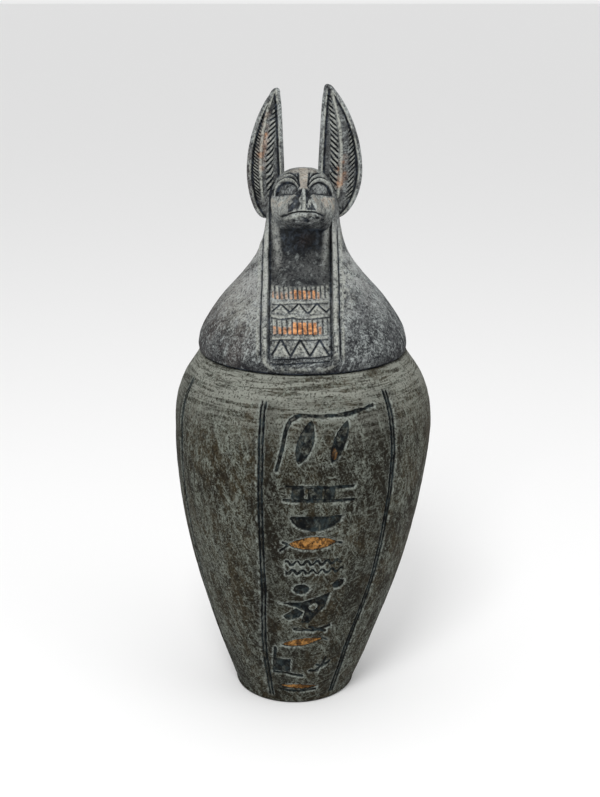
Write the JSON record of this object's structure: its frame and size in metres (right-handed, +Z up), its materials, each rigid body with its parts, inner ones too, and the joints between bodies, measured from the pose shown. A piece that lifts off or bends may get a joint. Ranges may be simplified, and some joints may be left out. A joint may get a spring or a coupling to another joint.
{
  "type": "canopic jar",
  "caption": "Hollow carved stone jar on a narrow foot, with a lift-off lid carved as a jackal-headed bust in a wig and collar.",
  "frame": {"origin": "on the ground, under the centre of the jar's shoulder", "axes": "+Z up, the jackal's face and the inscribed panel look along -Y, the jackal's left is +X"},
  "size_m": [0.1262, 0.1262, 0.301],
  "materials": {
    "jar_stone": "dark green-grey stone, dull polish, pale scratches and dusty veins, grooves dark blue-black, some filled with ochre",
    "lid_stone": "dark blue-grey stone with fine pale flecks, brown-grey on one side, rubbed pale on raised edges, traces of ochre paint"
  },
  "bodies": {
    "root": {"jar": "jar_stone", "jackal_lid": "lid_stone"}
  },
  "joints": []
}
